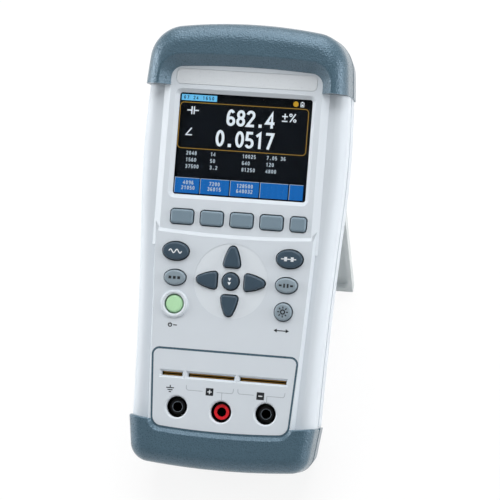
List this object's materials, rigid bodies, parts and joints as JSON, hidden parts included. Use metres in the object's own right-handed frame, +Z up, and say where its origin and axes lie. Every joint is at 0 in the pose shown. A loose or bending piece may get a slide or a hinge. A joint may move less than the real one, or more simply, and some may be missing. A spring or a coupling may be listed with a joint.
{
  "type": "handheld component tester",
  "caption": "Hand-held component tester with rubber end bumpers, a display, pressable keys, lead slots, banana jacks and a folding tilt stand, standing on a bench.",
  "frame": {"origin": "centre of the footprint's bounding box, on the bench that the tester stands on", "axes": "+Z up from the bench, +X to the right as the display is read, +Y away from the reader"},
  "size_m": [0.0874, 0.1614, 0.1498],
  "materials": {
    "case_plastic": "fine-textured pale grey moulding",
    "stand_plastic": "fine-textured grey moulding",
    "label_film": "smooth blank strip",
    "bumper_rubber": "pebbled slate-blue overmould",
    "window_glass": "clear hard-coated window",
    "gasket_foam": "black foam",
    "display_panel": "dark display face",
    "frame_plastic": "black moulding",
    "ribbon_film": "amber film",
    "screw_steel": "zinc plated",
    "board_laminate": "green solder mask",
    "chip_plastic": "black moulding compound",
    "shield_tinplate": "tinned sheet",
    "black_plastic": "black moulding",
    "red_plastic": "red moulding",
    "contact_brass": "gold-flashed spring alloy",
    "cell_jacket": "plain cell jacket",
    "soft_key_rubber": "blue-grey keypad rubber",
    "dark_key_rubber": "dark slate keypad rubber",
    "power_key_rubber": "pale green keypad rubber"
  },
  "bodies": {
    "case": {"front_case": "case_plastic", "rear_case": "case_plastic", "top_bumper_front": "bumper_rubber", "bottom_bumper_front": "bumper_rubber", "top_bumper_rear": "bumper_rubber", "bottom_bumper_rear": "bumper_rubber", "label_plate": "label_film", "display_window": "window_glass", "window_gasket": "gasket_foam", "lcd_module": "display_panel", "lcd_frame": "frame_plastic", "lcd_ribbon": "ribbon_film", "keypad_mat": "gasket_foam", "keypad_board": "board_laminate", "main_board": "board_laminate", "processor_chip": "chip_plastic", "shield_can": "shield_tinplate", "range_relays": "chip_plastic", "buzzer": "chip_plastic", "usb_socket": "shield_tinplate", "terminal_panel": "case_plastic", "jack_shrouds": "black_plastic", "guard_jack_insulator": "black_plastic", "guard_contacts": "contact_brass", "high_jack_insulator": "red_plastic", "high_contacts": "contact_brass", "low_jack_insulator": "black_plastic", "low_contacts": "contact_brass", "jack_sockets": "contact_brass", "battery_cells": "cell_jacket", "battery_contacts": "screw_steel", "battery_cover": "case_plastic", "battery_cover_screw": "screw_steel", "case_screws": "screw_steel", "board_screws": "screw_steel", "keypad_screws": "screw_steel", "lcd_screws": "screw_steel"},
    "stand": {"tilt_stand": "stand_plastic"},
    "soft_key_1": {"soft_key_1": "soft_key_rubber"},
    "soft_key_2": {"soft_key_2": "soft_key_rubber"},
    "soft_key_3": {"soft_key_3": "soft_key_rubber"},
    "soft_key_4": {"soft_key_4": "soft_key_rubber"},
    "soft_key_5": {"soft_key_5": "soft_key_rubber"},
    "measure_key": {"measure_key": "dark_key_rubber"},
    "setup_key": {"setup_key": "dark_key_rubber"},
    "system_key": {"system_key": "soft_key_rubber"},
    "hold_key": {"hold_key": "soft_key_rubber"},
    "power_key": {"power_key": "power_key_rubber"},
    "light_key": {"light_key": "soft_key_rubber"},
    "up_key": {"up_key": "dark_key_rubber"},
    "down_key": {"down_key": "dark_key_rubber"},
    "left_key": {"left_key": "dark_key_rubber"},
    "right_key": {"right_key": "dark_key_rubber"},
    "center_key": {"center_key": "dark_key_rubber"}
  },
  "joints": [
    {"name": "stand_hinge", "type": "hinge", "parent": "case", "child": "stand", "pos_m": [0, 0.05146, 0.09596], "axis": [1, 0, 0], "range_deg": [-47.1, 0]},
    {"name": "soft_key_1_press", "type": "slide", "parent": "case", "child": "soft_key_1", "axis": [0, 0.6595, -0.7517], "range_m": [0, 0.001], "stiffness_N_per_m": 300, "springref_m": -0.002},
    {"name": "soft_key_2_press", "type": "slide", "parent": "case", "child": "soft_key_2", "axis": [0, 0.6595, -0.7517], "range_m": [0, 0.001], "stiffness_N_per_m": 300, "springref_m": -0.002},
    {"name": "soft_key_3_press", "type": "slide", "parent": "case", "child": "soft_key_3", "axis": [0, 0.6595, -0.7517], "range_m": [0, 0.001], "stiffness_N_per_m": 300, "springref_m": -0.002},
    {"name": "soft_key_4_press", "type": "slide", "parent": "case", "child": "soft_key_4", "axis": [0, 0.6595, -0.7517], "range_m": [0, 0.001], "stiffness_N_per_m": 300, "springref_m": -0.002},
    {"name": "soft_key_5_press", "type": "slide", "parent": "case", "child": "soft_key_5", "axis": [0, 0.6595, -0.7517], "range_m": [0, 0.001], "stiffness_N_per_m": 300, "springref_m": -0.002},
    {"name": "measure_key_press", "type": "slide", "parent": "case", "child": "measure_key", "axis": [0, 0.6595, -0.7517], "range_m": [0, 0.001], "stiffness_N_per_m": 300, "springref_m": -0.002},
    {"name": "setup_key_press", "type": "slide", "parent": "case", "child": "setup_key", "axis": [0, 0.6595, -0.7517], "range_m": [0, 0.001], "stiffness_N_per_m": 300, "springref_m": -0.002},
    {"name": "system_key_press", "type": "slide", "parent": "case", "child": "system_key", "axis": [0, 0.6595, -0.7517], "range_m": [0, 0.001], "stiffness_N_per_m": 300, "springref_m": -0.002},
    {"name": "hold_key_press", "type": "slide", "parent": "case", "child": "hold_key", "axis": [0, 0.6595, -0.7517], "range_m": [0, 0.001], "stiffness_N_per_m": 300, "springref_m": -0.002},
    {"name": "power_key_press", "type": "slide", "parent": "case", "child": "power_key", "axis": [0, 0.6595, -0.7517], "range_m": [0, 0.001], "stiffness_N_per_m": 300, "springref_m": -0.002},
    {"name": "light_key_press", "type": "slide", "parent": "case", "child": "light_key", "axis": [0, 0.6595, -0.7517], "range_m": [0, 0.001], "stiffness_N_per_m": 300, "springref_m": -0.002},
    {"name": "up_key_press", "type": "slide", "parent": "case", "child": "up_key", "axis": [0, 0.6595, -0.7517], "range_m": [0, 0.001], "stiffness_N_per_m": 300, "springref_m": -0.002},
    {"name": "down_key_press", "type": "slide", "parent": "case", "child": "down_key", "axis": [0, 0.6595, -0.7517], "range_m": [0, 0.001], "stiffness_N_per_m": 300, "springref_m": -0.002},
    {"name": "left_key_press", "type": "slide", "parent": "case", "child": "left_key", "axis": [0, 0.6595, -0.7517], "range_m": [0, 0.001], "stiffness_N_per_m": 300, "springref_m": -0.002},
    {"name": "right_key_press", "type": "slide", "parent": "case", "child": "right_key", "axis": [0, 0.6595, -0.7517], "range_m": [0, 0.001], "stiffness_N_per_m": 300, "springref_m": -0.002},
    {"name": "center_key_press", "type": "slide", "parent": "case", "child": "center_key", "axis": [0, 0.6595, -0.7517], "range_m": [0, 0.001], "stiffness_N_per_m": 300, "springref_m": -0.002}
  ]
}
